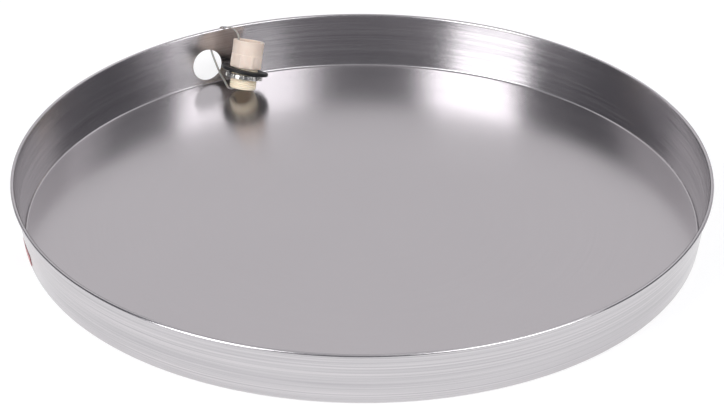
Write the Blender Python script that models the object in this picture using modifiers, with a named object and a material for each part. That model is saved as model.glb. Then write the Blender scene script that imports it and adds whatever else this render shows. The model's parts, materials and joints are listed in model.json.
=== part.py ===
"""Round spun aluminium drain pan with its side outlet fitting.

Sizes are in metres. The origin is the centre of the underside of the floor, +Z is up, and
the outlet hole is on the +Y side. The outlet fitting is a threaded socket adapter with a
rubber gasket and a lugged locknut. It stands in the pan beside the hole, held by a nylon tie
that is looped over the rim and through the hole.
"""
import math

import bmesh
import bpy
import numpy as np
from mathutils import Matrix, Vector

COLLECTION = "drain_pan"
GAP = 0.0003                    # space left between pieces that touch

# pan shell, one spun sheet
SHEET = 0.0008
RIM_RADIUS = 0.387              # outside of the rolled bead
DEPTH = 0.065                   # underside of the floor to the top of the bead
WALL_FLARE = 0.0152             # rim's radius less that of the flat part of the floor
CORNER_RADIUS = 0.003           # outside radius between floor and wall
BEAD_RADIUS = 0.00225           # outside radius of the rolled bead
BEAD_TURN = 296.0               # degrees that the sheet curls
PAN_STEPS = 96                  # facets round the pan
CORNER_STEPS = 4                # facets across the corner and across the bead
BEAD_STEPS = 12

# outlet hole in the wall
HOLE_RADIUS = 0.019
HOLE_FOOT = 0.005               # lowest edge of the hole above the underside
HOLE_STEPS = 48
PUNCH_LENGTH = 0.030

# socket adapter, measured along its own axis from the threaded end
ADAPTER_LENGTH = 0.0585
THREAD_LENGTH = 0.026
THREAD_RADIUS = 0.0161
THREAD_DEPTH = 0.0011
THREAD_PITCH = 0.002209
THREAD_CREST = 0.18             # half the width of a crest, as a share of the pitch
THREAD_WALL = 0.004             # root of the thread to the bore
COLLAR_HEIGHT = 0.016
COLLAR_FLATS = 0.0366           # across the flats of the eight-sided collar
COLLAR_SIDES = 8
COLLAR_LAP = 0.001              # how far the socket's outline runs down into the collar
SOCKET_RADIUS = 0.0188
SOCKET_WALL = 0.00445
SOCKET_DEPTH = 0.022
SOCKET_EDGE = 0.0006
FITTING_STEPS = 48

# gasket and locknut on the adapter's thread
GASKET_WIDTH = 0.0122           # crest of the thread to the gasket's outside
GASKET_THICKNESS = 0.004
GASKET_TILT = 4.5               # degrees that the loose gasket hangs out of square
GASKET_HEADING = -67.0          # degrees from the fitting's own X of the way that it hangs
GASKET_EDGE = 0.0008
GASKET_STEPS = 64
NUT_WIDTH = 0.0063              # crest of the thread to the locknut's outside
NUT_THICKNESS = 0.0053
NUT_NOTCHES = 12
NUT_NOTCH_WIDTH = 0.0042
NUT_NOTCH_DEPTH = 0.0026
NUT_EDGE = 0.0005

# where the fitting stands: it leans, with the low edge of its thread on the floor
FITTING_X = 0.0232
FITTING_STANDOFF = 0.0414       # centre of the threaded end to the edge of the flat floor
LEAN = 22.15                    # degrees from upright
LEAN_HEADING = 37.7             # degrees from +X of the way it leans

# nylon tie, a slack loop
TIE_RADIUS = 0.0008
TIE_RIM_X = 0.026               # where the loop crosses the rim
TIE_HOLE_X = 0.0075             # where it enters the hole
TIE_HANG = 0.0018               # how far its outer stretch hangs off the wall
TIE_REACH = 0.0045              # first bend past the hole's edge, inwards and down
TIE_FOOT = 0.0019               # how far it passes below the threaded end
TIE_SIDE = 152.2                # degrees from +X of the side of the bore that it lies along
TIE_SWEEP = ((0.3, -0.0010, 0.0002), (0.6, -0.0015, 0.0004), (0.85, -0.0006, 0.0006))
TIE_ARCH = ((0.3, 0.0024, 0.0034), (0.65, 0.0026, 0.0026))  # share, sideways and up
TIE_SAMPLES = 4                 # curve points in each stretch between route points
TIE_HEAD = (0.0046, 0.0034, 0.0052)
TIE_HEAD_EDGE = 0.0004
TIE_HEAD_TURN = 38.0            # degrees that the head leans with the strap
TIE_HEAD_DROP = 0.0085          # head's centre below the bead's centre
TIE_HEAD_BACK = 0.0002          # how far the head's back stands behind the strap's

# blank label on the outside of the wall
LABEL_HEADING = 165.5           # degrees from +X
LABEL_LENGTH = 0.045
LABEL_BOTTOM = 0.006
LABEL_HEIGHT = 0.014
LABEL_THICKNESS = 0.0003
LABEL_COLUMNS = 13
LABEL_ROWS = 2

# values worked out from the ones above
FLOOR_RADIUS = RIM_RADIUS - WALL_FLARE
HOLE_HEIGHT = HOLE_FOOT + HOLE_RADIUS
SHEET_CENTRE = SHEET / 2
BEAD_CENTRE_RADIUS = RIM_RADIUS - BEAD_RADIUS
BEAD_CENTRE_HEIGHT = DEPTH - BEAD_RADIUS
CORNER_CENTRE_RADIUS = FLOOR_RADIUS
CORNER_CENTRE_HEIGHT = CORNER_RADIUS
CORNER_MID = CORNER_RADIUS - SHEET_CENTRE       # radii of the middle of the sheet
BEAD_MID = BEAD_RADIUS - SHEET_CENTRE
WALL_RUN = BEAD_CENTRE_RADIUS - CORNER_CENTRE_RADIUS
WALL_RISE = BEAD_CENTRE_HEIGHT - CORNER_CENTRE_HEIGHT
WALL_LEAN = math.atan2(WALL_RUN, WALL_RISE) - math.asin(
    (CORNER_MID + BEAD_MID) / math.hypot(WALL_RUN, WALL_RISE))

THREAD_ROOT = THREAD_RADIUS - THREAD_DEPTH
THREAD_BORE = THREAD_ROOT - THREAD_WALL
SOCKET_BORE = SOCKET_RADIUS - SOCKET_WALL
SOCKET_SHOULDER = ADAPTER_LENGTH - SOCKET_DEPTH
LEAN_RADIANS = math.radians(LEAN)
FITTING_FOOT = Vector((
    FITTING_X,
    FLOOR_RADIUS - FITTING_STANDOFF,
    SHEET + GAP + THREAD_ROOT * math.sin(LEAN_RADIANS),
))
FITTING_TURN = (Matrix.Rotation(math.radians(LEAN_HEADING), 4, "Z")
                @ Matrix.Rotation(LEAN_RADIANS, 4, "Y"))
FITTING_AXIS = (FITTING_TURN @ Vector((0.0, 0.0, 1.0))).normalized()

COLLAR_CORNER = COLLAR_FLATS / 2 / math.cos(math.pi / COLLAR_SIDES)
TILT_RADIANS = math.radians(GASKET_TILT)
GASKET_RADIUS = THREAD_RADIUS + GASKET_WIDTH
GASKET_HOLE = THREAD_RADIUS + 2 * GAP + GASKET_THICKNESS / 2 * math.sin(TILT_RADIANS)
GASKET_SEAT = (THREAD_LENGTH - GAP - COLLAR_CORNER * math.sin(TILT_RADIANS)
               - GASKET_THICKNESS / 2)
NUT_RADIUS = THREAD_RADIUS + NUT_WIDTH
NUT_TOP = (GASKET_SEAT - GASKET_THICKNESS / 2 - NUT_RADIUS * math.sin(TILT_RADIANS) - GAP)
NUT_HOLE = THREAD_RADIUS + GAP
TIE_CLEAR = TIE_RADIUS + 1.5 * GAP      # strap's centre line to a face that it passes


def wall_radius(height, side):
    """Radius of the wall at a height: side 1 is its outer face, -1 its inner, 0 the middle."""
    start = CORNER_CENTRE_RADIUS + CORNER_MID * math.cos(WALL_LEAN)
    low = CORNER_CENTRE_HEIGHT - CORNER_MID * math.sin(WALL_LEAN)
    middle = start + (height - low) * math.tan(WALL_LEAN)
    return middle + side * SHEET_CENTRE / math.cos(WALL_LEAN)


def clear_scene():
    for old in list(bpy.data.objects):
        bpy.data.objects.remove(old)


def new_collection(name):
    made = bpy.data.collections.new(name)
    bpy.context.scene.collection.children.link(made)
    return made


def material(name, colour, roughness, metallic):
    made = bpy.data.materials.new(name)
    made.use_nodes = True
    shader = made.node_tree.nodes["Principled BSDF"]
    shader.inputs["Base Color"].default_value = (*colour, 1.0)
    shader.inputs["Roughness"].default_value = roughness
    shader.inputs["Metallic"].default_value = metallic
    return made


def place(name, mesh, collection, finish=None):
    made = bpy.data.objects.new(name, mesh)
    collection.objects.link(made)
    if finish is not None:
        mesh.materials.append(finish)
    return made


def outline_mesh(name, points, closed):
    """A wire of (radius, height) points in the XZ plane, for a Screw modifier to turn."""
    mesh = bpy.data.meshes.new(name)
    count = len(points)
    edges = [(i, i + 1) for i in range(count - 1)]
    if closed:
        edges.append((count - 1, 0))
    mesh.from_pydata([(r, 0.0, z) for r, z in points], edges, [])
    return mesh


def turn(made, steps):
    screw = made.modifiers.new("turn", "SCREW")
    screw.axis = "Z"
    screw.angle = math.tau
    screw.steps = steps
    screw.render_steps = steps
    screw.use_merge_vertices = True
    screw.merge_threshold = 0.00001
    screw.use_smooth_shade = True
    return screw


def boolean(made, other, operation):
    change = made.modifiers.new(operation.lower(), "BOOLEAN")
    change.operation = operation
    change.solver = "EXACT"
    change.object = other


def cutter(name, mesh, collection):
    made = place(name, mesh, collection)
    made.display_type = "WIRE"
    made.hide_render = True
    return made


def cylinder_mesh(name, radius, length, segments):
    """A closed cylinder along Z, centred on its own origin."""
    mesh = bpy.data.meshes.new(name)
    shape = bmesh.new()
    bmesh.ops.create_cone(shape, cap_ends=True, segments=segments, radius1=radius,
                          radius2=radius, depth=length)
    shape.to_mesh(mesh)
    shape.free()
    return mesh


def pan_profile():
    """The middle line of the sheet, from the centre of the floor to the end of the curl."""
    points = [(0.0, SHEET_CENTRE), (CORNER_CENTRE_RADIUS, SHEET_CENTRE)]
    for i in range(1, CORNER_STEPS + 1):
        angle = -math.pi / 2 + (math.pi / 2 - WALL_LEAN) * i / CORNER_STEPS
        points.append((CORNER_CENTRE_RADIUS + CORNER_MID * math.cos(angle),
                       CORNER_CENTRE_HEIGHT + CORNER_MID * math.sin(angle)))
    for i in range(BEAD_STEPS + 1):
        angle = math.pi - WALL_LEAN - math.radians(BEAD_TURN) * i / BEAD_STEPS
        points.append((BEAD_CENTRE_RADIUS + BEAD_MID * math.cos(angle),
                       BEAD_CENTRE_HEIGHT + BEAD_MID * math.sin(angle)))
    return points


def make_pan(collection, cutters):
    """Floor, flared wall and rolled bead, spun from one sheet, with the outlet hole."""
    finish = material("spun_aluminium", (0.62, 0.61, 0.62), 0.32, 1.0)
    pan = place("pan_shell", outline_mesh("pan_shell", pan_profile(), False), collection,
                finish)
    turn(pan, PAN_STEPS)
    thick = pan.modifiers.new("sheet", "SOLIDIFY")
    thick.thickness = SHEET
    thick.offset = 0.0
    thick.use_even_offset = True
    punch_mesh = cylinder_mesh("outlet_punch", HOLE_RADIUS, PUNCH_LENGTH, HOLE_STEPS)
    punch = cutter("outlet_punch", punch_mesh, cutters)
    punch.location = (0.0, wall_radius(HOLE_HEIGHT, 0), HOLE_HEIGHT)
    punch.rotation_euler = (math.pi / 2 - WALL_LEAN, 0.0, 0.0)
    boolean(pan, punch, "DIFFERENCE")
    return pan


def adapter_profile():
    """Outer outline of the adapter without its collar, from the socket's lip down."""
    top = ADAPTER_LENGTH
    step = THREAD_LENGTH + COLLAR_LAP
    crest = THREAD_CREST * THREAD_PITCH
    points = [(0.0, top), (SOCKET_RADIUS - SOCKET_EDGE, top),
              (SOCKET_RADIUS, top - SOCKET_EDGE), (SOCKET_RADIUS, step), (THREAD_ROOT, step)]
    ridges = int((THREAD_LENGTH - THREAD_PITCH / 2) / THREAD_PITCH)
    for i in range(1, ridges + 1):
        middle = THREAD_LENGTH - i * THREAD_PITCH
        points.append((THREAD_ROOT, middle + THREAD_PITCH / 2 - crest))
        points.append((THREAD_RADIUS, middle + crest))
        points.append((THREAD_RADIUS, middle - crest))
    points.append((THREAD_ROOT, middle - THREAD_PITCH / 2 + crest))
    points.append((THREAD_ROOT, 0.0))
    points.append((0.0, 0.0))
    return points


def bore_profile():
    """The stepped hole through the adapter, a little longer than the adapter each way."""
    past = COLLAR_HEIGHT / 8
    return [(0.0, ADAPTER_LENGTH + past), (SOCKET_BORE, ADAPTER_LENGTH + past),
            (SOCKET_BORE, SOCKET_SHOULDER), (THREAD_BORE, SOCKET_SHOULDER),
            (THREAD_BORE, -past), (0.0, -past)]


def make_adapter(collection, cutters, stand):
    """Moulded adapter: socket at the top, eight-sided collar, male thread at the foot."""
    finish = material("moulded_cpvc", (0.80, 0.68, 0.50), 0.5, 0.0)
    adapter = place("adapter_body",
                    outline_mesh("adapter_body", adapter_profile(), False), collection, finish)
    adapter.parent = stand
    turn(adapter, FITTING_STEPS)
    collar_mesh = cylinder_mesh("collar", COLLAR_CORNER, COLLAR_HEIGHT, COLLAR_SIDES)
    collar_mesh.transform(Matrix.Translation((0, 0, THREAD_LENGTH + COLLAR_HEIGHT / 2))
                          @ Matrix.Rotation(math.pi / COLLAR_SIDES, 4, "Z"))
    collar = cutter("collar", collar_mesh, cutters)
    collar.parent = stand
    boolean(adapter, collar, "UNION")
    bore = cutter("bore", outline_mesh("bore", bore_profile(), False), cutters)
    bore.parent = stand
    turn(bore, FITTING_STEPS)
    boolean(adapter, bore, "DIFFERENCE")
    return adapter


def ring_profile(inner, outer, half, edge):
    """Outline of a flat ring with chamfered corners, down the outside and up the inside."""
    return [(inner + edge, half), (outer - edge, half), (outer, half - edge),
            (outer, -half + edge), (outer - edge, -half), (inner + edge, -half),
            (inner, -half + edge), (inner, half - edge)]


def make_gasket(collection, stand):
    """Flat rubber ring, loose on the thread between the collar and the locknut."""
    finish = material("epdm_rubber", (0.012, 0.012, 0.014), 0.55, 0.0)
    outline = ring_profile(GASKET_HOLE, GASKET_RADIUS, GASKET_THICKNESS / 2, GASKET_EDGE)
    gasket = place("rubber_gasket", outline_mesh("rubber_gasket", outline, True), collection,
                   finish)
    gasket.parent = stand
    gasket.location = (0.0, 0.0, GASKET_SEAT)
    gasket.rotation_euler = (0.0, TILT_RADIANS, math.radians(GASKET_HEADING))
    turn(gasket, GASKET_STEPS)
    return gasket


def make_locknut(collection, cutters, stand):
    """Zinc-plated steel locknut with notches round its rim for turning it."""
    finish = material("zinc_plated_steel", (0.60, 0.60, 0.58), 0.30, 1.0)
    outline = ring_profile(NUT_HOLE, NUT_RADIUS, NUT_THICKNESS / 2, NUT_EDGE)
    nut = place("locknut", outline_mesh("locknut", outline, True), collection, finish)
    nut.parent = stand
    nut.location = (0.0, 0.0, NUT_TOP - NUT_THICKNESS / 2)
    turn(nut, FITTING_STEPS)
    notch_mesh = bpy.data.meshes.new("notches")
    shape = bmesh.new()
    for i in range(NUT_NOTCHES):
        where = (Matrix.Rotation(math.tau * (i + 0.5) / NUT_NOTCHES, 4, "Z")
                 @ Matrix.Translation((NUT_RADIUS, 0.0, 0.0))
                 @ Matrix.Diagonal((2 * NUT_NOTCH_DEPTH, NUT_NOTCH_WIDTH,
                                    2 * NUT_THICKNESS, 1.0)))
        bmesh.ops.create_cube(shape, size=1.0, matrix=where)
    shape.to_mesh(notch_mesh)
    shape.free()
    notches = cutter("notches", notch_mesh, cutters)
    notches.parent = stand
    notches.location = nut.location
    boolean(nut, notches, "DIFFERENCE")
    return nut


def around(radius, x, height):
    """The point at a radius from the pan's axis, at a given x and height, on the +Y side."""
    return Vector((x, math.sqrt(radius * radius - x * x), height))


def tie_route():
    """Route points of the closed loop: rim, outside, hole, across the floor, bore, arch."""
    at_hole = math.sqrt((HOLE_RADIUS - GAP) ** 2 - (TIE_HOLE_X + 2 * GAP) ** 2)
    edge = HOLE_HEIGHT + at_hole
    heading = math.radians(TIE_SIDE)
    side = Vector((math.cos(heading), math.sin(heading), 0.0))
    side = (side - side.dot(FITTING_AXIS) * FITTING_AXIS).normalized()

    def in_fitting(radius, along):
        return FITTING_FOOT + side * radius + FITTING_AXIS * along

    def bowed(start, end, bows):
        """Points a share of the way from start to end, each pushed sideways and up."""
        return [start.lerp(end, share) + Vector((sideways, 0.0, upward))
                for share, sideways, upward in bows]

    out = BEAD_RADIUS + TIE_CLEAR
    below = BEAD_CENTRE_HEIGHT - BEAD_RADIUS / 2
    drift = TIE_RIM_X - 3 * TIE_RADIUS
    rim = [
        around(BEAD_CENTRE_RADIUS, TIE_RIM_X, BEAD_CENTRE_HEIGHT + out),
        around(BEAD_CENTRE_RADIUS + 0.8 * out, (TIE_RIM_X + drift) / 2,
               BEAD_CENTRE_HEIGHT + 0.6 * out),
        around(BEAD_CENTRE_RADIUS + out, drift, below),
    ]
    outside = []
    for share in (0.35, 0.7):
        height = edge + (below - edge) * (1 - share)
        stand_off = TIE_CLEAR + TIE_HANG * (1 - share)
        lead = drift + (TIE_HOLE_X + 2 * TIE_RADIUS - drift) * share
        outside.append(around(wall_radius(height, 1) + stand_off, lead, height))
    hole = [
        around(wall_radius(edge, 1) + 1.2 * TIE_CLEAR, TIE_HOLE_X + TIE_RADIUS,
               edge + TIE_CLEAR),
        around(wall_radius(edge, 0), TIE_HOLE_X, edge - TIE_CLEAR),
        around(wall_radius(edge, -1) - TIE_REACH, TIE_HOLE_X - TIE_RADIUS,
               edge - TIE_REACH),
    ]
    along_bore = THREAD_BORE - TIE_CLEAR
    along_socket = SOCKET_BORE - TIE_CLEAR - GAP
    fitting = [
        in_fitting(THREAD_RADIUS + 4 * TIE_RADIUS, 2 * TIE_RADIUS),
        in_fitting(THREAD_RADIUS + TIE_RADIUS, -TIE_CLEAR),
        in_fitting((THREAD_RADIUS + THREAD_BORE) / 2, -TIE_FOOT),
        in_fitting(THREAD_BORE - GAP, -TIE_CLEAR),
        in_fitting(along_bore - GAP, 3 * TIE_RADIUS),
        in_fitting(along_bore, SOCKET_SHOULDER * 0.35),
        in_fitting(along_bore - GAP, SOCKET_SHOULDER * 0.75),
        in_fitting(along_bore, SOCKET_SHOULDER + 2 * TIE_RADIUS),
        in_fitting((along_bore + along_socket) / 2, SOCKET_SHOULDER + SOCKET_DEPTH / 2),
        in_fitting(along_socket, ADAPTER_LENGTH - 4 * TIE_RADIUS),
        in_fitting(along_socket + GAP, ADAPTER_LENGTH + 4 * TIE_RADIUS),
    ]
    across = bowed(hole[-1], fitting[0], TIE_SWEEP)
    arch = bowed(fitting[-1], rim[0], TIE_ARCH)
    return rim + outside + hole + across + fitting + arch


def closed_curve(points, samples):
    """Points on the smooth closed curve through the route's points (Catmull-Rom)."""
    route = np.array([tuple(p) for p in points])
    before, after = np.roll(route, 1, axis=0), np.roll(route, -1, axis=0)
    later = np.roll(route, -2, axis=0)
    out = []
    for p0, p1, p2, p3 in zip(before, route, after, later):
        for i in range(samples):
            t = i / samples
            out.append(0.5 * (2 * p1 + (p2 - p0) * t + (2 * p0 - 5 * p1 + 4 * p2 - p3) * t ** 2
                              + (3 * p1 - p0 - 3 * p2 + p3) * t ** 3))
    return out


def make_tie(collection, cutters):
    """Natural nylon cable tie: a closed slack loop with its head outside the wall."""
    finish = material("natural_nylon", (0.80, 0.77, 0.70), 0.35, 0.0)
    points = closed_curve(tie_route(), TIE_SAMPLES)
    curve = bpy.data.curves.new("tie_loop", "CURVE")
    curve.dimensions = "3D"
    curve.bevel_depth = TIE_RADIUS
    curve.bevel_resolution = 2
    curve.resolution_u = 1
    spline = curve.splines.new("POLY")
    spline.points.add(len(points) - 1)
    for target, point in zip(spline.points, points):
        target.co = (*point, 1.0)
    spline.use_cyclic_u = True
    loop = place("tie_loop", curve, collection)
    bpy.context.view_layer.update()
    graph = bpy.context.evaluated_depsgraph_get()
    mesh = bpy.data.meshes.new_from_object(loop.evaluated_get(graph))
    bpy.data.objects.remove(loop)
    shape = bmesh.new()
    shape.from_mesh(mesh)
    bmesh.ops.remove_doubles(shape, verts=shape.verts, dist=0.000001)
    shape.to_mesh(mesh)
    shape.free()
    mesh.name = "cable_tie"
    mesh.materials.clear()
    tie = place("cable_tie", mesh, collection, finish)

    height = BEAD_CENTRE_HEIGHT - TIE_HEAD_DROP
    nearest = min((p for p in points if p[1] > wall_radius(p[2], 0)),
                  key=lambda p: abs(p[2] - height))
    head_mesh = bpy.data.meshes.new("tie_head")
    shape = bmesh.new()
    bmesh.ops.create_cube(shape, size=1.0, matrix=Matrix.Diagonal((*TIE_HEAD, 1.0)))
    bmesh.ops.bevel(shape, geom=list(shape.edges), offset=TIE_HEAD_EDGE,
                    segments=1, affect="EDGES")
    shape.to_mesh(head_mesh)
    shape.free()
    head = cutter("tie_head", head_mesh, cutters)
    outward = TIE_HEAD[1] / 2 - TIE_RADIUS - TIE_HEAD_BACK
    head.location = (nearest[0], nearest[1] + outward, nearest[2])
    head.rotation_euler = (0.0, math.radians(TIE_HEAD_TURN), 0.0)
    boolean(tie, head, "UNION")
    return tie


def make_label(collection):
    """Blank label stuck on the outer wall: a strip of the wall's cone with a thickness."""
    finish = material("coated_paper", (0.62, 0.13, 0.14), 0.45, 0.0)
    mesh = bpy.data.meshes.new("wall_label")
    shape = bmesh.new()
    bmesh.ops.create_grid(shape, x_segments=LABEL_COLUMNS, y_segments=LABEL_ROWS,
                          size=0.5)
    sweep = LABEL_LENGTH / RIM_RADIUS
    for vert in shape.verts:
        height = LABEL_BOTTOM + (vert.co.y + 0.5) * LABEL_HEIGHT
        angle = math.radians(LABEL_HEADING) + vert.co.x * sweep
        radius = wall_radius(height, 1) + GAP
        vert.co = (radius * math.cos(angle), radius * math.sin(angle), height)
    shape.to_mesh(mesh)
    shape.free()
    label = place("wall_label", mesh, collection, finish)
    thick = label.modifiers.new("paper", "SOLIDIFY")
    thick.thickness = LABEL_THICKNESS
    thick.offset = 1.0
    return label


def build():
    clear_scene()
    parts = new_collection(COLLECTION)
    cutters = new_collection("cutters")
    stand = bpy.data.objects.new("fitting_axis", None)
    parts.objects.link(stand)
    stand.matrix_world = Matrix.Translation(FITTING_FOOT) @ FITTING_TURN
    make_pan(parts, cutters)
    make_adapter(parts, cutters, stand)
    make_gasket(parts, stand)
    make_locknut(parts, cutters, stand)
    make_tie(parts, cutters)
    make_label(parts)


build()
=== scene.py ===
import json
import math

import bmesh
import bpy
import numpy as np
from mathutils import Matrix, Vector


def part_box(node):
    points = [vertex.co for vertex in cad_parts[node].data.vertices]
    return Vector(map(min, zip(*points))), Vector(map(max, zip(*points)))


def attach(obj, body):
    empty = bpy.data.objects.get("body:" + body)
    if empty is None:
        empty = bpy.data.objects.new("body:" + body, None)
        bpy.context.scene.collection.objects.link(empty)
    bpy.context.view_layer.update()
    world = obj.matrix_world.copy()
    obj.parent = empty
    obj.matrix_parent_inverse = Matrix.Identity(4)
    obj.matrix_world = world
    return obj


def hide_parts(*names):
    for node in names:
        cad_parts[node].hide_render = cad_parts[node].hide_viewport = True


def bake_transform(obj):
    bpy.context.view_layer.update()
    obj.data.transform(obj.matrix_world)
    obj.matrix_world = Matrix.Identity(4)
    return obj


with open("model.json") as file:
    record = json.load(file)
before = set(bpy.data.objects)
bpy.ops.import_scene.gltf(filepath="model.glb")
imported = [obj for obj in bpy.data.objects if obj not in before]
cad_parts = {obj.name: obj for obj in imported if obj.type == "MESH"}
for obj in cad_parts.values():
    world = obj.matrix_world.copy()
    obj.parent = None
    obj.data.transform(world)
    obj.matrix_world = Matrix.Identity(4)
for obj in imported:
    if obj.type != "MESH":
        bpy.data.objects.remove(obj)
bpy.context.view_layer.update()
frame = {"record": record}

# Spun aluminium drain pan with its outlet fitting tied to the rim.
# Sizes are in metres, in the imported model's own frame: the origin is the centre of the
# underside of the pan, +Z is up and the outlet hole is on the +Y side.

mounts = {mount["name"]: mount for mount in frame["record"]["mounts"]}
joints = {joint["name"]: joint for joint in frame["record"]["behaviour"]["joints"]}


# ---------------------------------------------------------------- camera, floor and light
# A long lens a little above the pan, a light table for a floor, and soft boxes: a wide bank
# behind that the pan's floor mirrors, one overhead, one on the left and two on the right.
RIM_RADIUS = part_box("pan_shell")[1][0]
VIEW_AZIMUTH = -30.0
VIEW_ELEVATION = 29.98
VIEW_ROLL = 0.19
VIEW_DISTANCE = 8.0 * RIM_RADIUS
LENS_MM = 137.8
FRAME_SHIFT = 0.0142


def around_pan(azimuth, elevation, distance):
    """A point on a sphere round the origin: azimuth 0 is towards -Y and 90 towards +X."""
    a, e = math.radians(azimuth), math.radians(elevation)
    return distance * Vector((math.sin(a) * math.cos(e), -math.cos(a) * math.cos(e),
                              math.sin(e)))


def aim(thing, place, roll=0.0):
    """Puts a camera or a light at a place, looking at the origin, rolled by some degrees."""
    thing.rotation_mode = "QUATERNION"
    thing.location = place
    look = (-place).to_track_quat("-Z", "Y")
    thing.rotation_quaternion = look @ Matrix.Rotation(math.radians(roll), 3, "Z").to_quaternion()


camera_data = bpy.data.cameras.new("camera")
camera_data.lens = LENS_MM
camera_data.shift_y = FRAME_SHIFT
camera = bpy.data.objects.new("camera", camera_data)
bpy.context.scene.collection.objects.link(camera)
aim(camera, around_pan(VIEW_AZIMUTH, VIEW_ELEVATION, VIEW_DISTANCE), VIEW_ROLL)
bpy.context.scene.camera = camera
bpy.context.scene.view_settings.view_transform = "Standard"


def linear(hex_colour):
    """An sRGB hex colour as linear red, green, blue and 1."""
    parts = np.array([int(hex_colour[i:i + 2], 16) / 255 for i in (1, 3, 5)])
    low, high = parts / 12.92, ((parts + 0.055) / 1.055) ** 2.4
    return (*np.where(parts <= 0.04045, low, high).tolist(), 1.0)


def add_node(tree, kind, settings=None, links=None):
    """Adds one node: settings are its properties or input values, links its input sockets."""
    node = tree.nodes.new(kind)
    for key, value in (settings or {}).items():
        if isinstance(key, str) and hasattr(node, key) and key not in node.inputs:
            setattr(node, key, value)
        else:
            node.inputs[key].default_value = value
    for key, socket in (links or {}).items():
        tree.links.new(socket, node.inputs[key])
    return node


def new_material(name):
    """An empty material with its output and a Principled BSDF, and its node tree."""
    made = bpy.data.materials.new(name)
    made.use_nodes = True
    tree = made.node_tree
    return made, tree, tree.nodes["Principled BSDF"]


# Opal acrylic of a light table: a matt white floor, lit a little from below, so that shadows
# on it stay pale.
opal, tree, shader = new_material("light_table_opal_acrylic")
shader.inputs["Base Color"].default_value = linear("#AEAEAF")
shader.inputs["Roughness"].default_value = 0.9
shader.inputs["Specular IOR Level"].default_value = 0.1
shader.inputs["Emission Color"].default_value = linear("#FFFFFF")
shader.inputs["Emission Strength"].default_value = 0.66

FLOOR_HALF = 9.0
FLOOR_DROP = 0.0002             # keeps it just under the pan's own underside
floor_mesh = bpy.data.meshes.new("studio_floor")
floor_mesh.from_pydata([(x, y, -FLOOR_DROP) for x, y in (
    (-FLOOR_HALF, -FLOOR_HALF), (FLOOR_HALF, -FLOOR_HALF),
    (FLOOR_HALF, FLOOR_HALF), (-FLOOR_HALF, FLOOR_HALF))], [], [(0, 1, 2, 3)])
floor_mesh.materials.append(opal)
studio_floor = bpy.data.objects.new("studio_floor", floor_mesh)
bpy.context.scene.collection.objects.link(studio_floor)


def soft_box(name, azimuth, elevation, distance, width, height, radiance, tint):
    """A rectangular area light aimed at the pan. Its power is radiance x pi x area."""
    data = bpy.data.lights.new(name, "AREA")
    data.shape = "RECTANGLE"
    data.size, data.size_y = width, height
    data.energy = radiance * math.pi * width * height
    data.color = linear(tint)[:3]
    made = bpy.data.objects.new(name, data)
    bpy.context.scene.collection.objects.link(made)
    made.visible_camera = False
    aim(made, around_pan(azimuth, elevation, distance))


# name, azimuth and elevation in degrees, distance, width, height, radiance, tint
soft_box("bank_behind", 150.0, 40.0, 3.4, 7.0, 3.2, 0.67, "#FFFCFD")
soft_box("box_left", -77.0, 34.0, 2.6, 1.30, 2.30, 5.0, "#FFFFFF")
soft_box("box_right", 22.0, 46.0, 2.6, 1.90, 1.30, 3.7, "#FFFFFF")
soft_box("strip_right", 20.0, 15.0, 2.6, 2.00, 0.55, 1.4, "#FFFFFF")
soft_box("box_overhead", 60.0, 84.0, 2.6, 4.6, 4.6, 0.35, "#FFFFFF")

world = bpy.data.worlds.new("studio_air")
world.use_nodes = True
world.node_tree.nodes["Background"].inputs["Color"].default_value = linear("#E9E9F5")
world.node_tree.nodes["Background"].inputs["Strength"].default_value = 0.16
bpy.context.scene.world = world


# ---------------------------------------------------------------- pan shell
# The pan is one disc of soft aluminium sheet spun over a former: flat floor, tight corner,
# flared wall and a rim curled outwards into a bead. The outlet hole is punched through the
# wall afterwards, so its edge is the bare thickness of the sheet.
PAN_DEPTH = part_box("pan_shell")[1][2]
SHEET = 0.0008
FLOOR_RADIUS = RIM_RADIUS - 0.0152
CORNER_RADIUS = 0.003           # outside
BEAD_RADIUS = 0.00225           # outside
BEAD_TURN = math.radians(296.0)
HOLE_RADIUS = 0.019
HOLE_HEIGHT = 0.024
HOLE_BAND = 0.0040              # wall left round the hole before the plain rows begin
HOLE_LIP = 0.00014              # rounding of the punched edge
PAN_COLUMNS = 480
FLOOR_CENTRE = 0.006            # radius of the floor's first ring
FLOOR_EDGE = 0.0012             # from its last ring but one to the corner
FLOOR_RINGS = 11
CORNER_STEPS = 8
BEAD_STEPS = 28
TIP_STEPS = 6
WALL_ROWS = 6                   # above the hole's patch
HOLE_ROWS = 14                  # rows and columns of the pan's grid that the patch takes
HOLE_COLUMNS = 10
PATCH_EASE = (0.25, 0.48, 0.67, 0.82, 0.92, 0.98)       # its rings, from its edge to the hole
HALF = SHEET / 2
CORNER_MID = CORNER_RADIUS - HALF
BEAD_MID = BEAD_RADIUS - HALF
BEAD_CENTRE = np.array([RIM_RADIUS - BEAD_RADIUS, PAN_DEPTH - BEAD_RADIUS])
CORNER_CENTRE = np.array([FLOOR_RADIUS, CORNER_RADIUS])
span = BEAD_CENTRE - CORNER_CENTRE
WALL_LEAN = math.atan2(span[0], span[1]) - math.asin((CORNER_MID + BEAD_MID)
                                                     / math.hypot(*span))
WALL_START = CORNER_CENTRE + CORNER_MID * np.array([math.cos(WALL_LEAN),
                                                    -math.sin(WALL_LEAN)])
WALL_WAY = np.array([math.sin(WALL_LEAN), math.cos(WALL_LEAN)])
WALL_FACE = np.array([-math.cos(WALL_LEAN), math.sin(WALL_LEAN)])
WALL_LENGTH = float(span @ WALL_WAY)
HOLE_ALONG = (HOLE_HEIGHT - WALL_START[1]) / WALL_WAY[1]
PATCH_TOP = HOLE_ALONG + HOLE_RADIUS + HOLE_BAND


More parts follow.
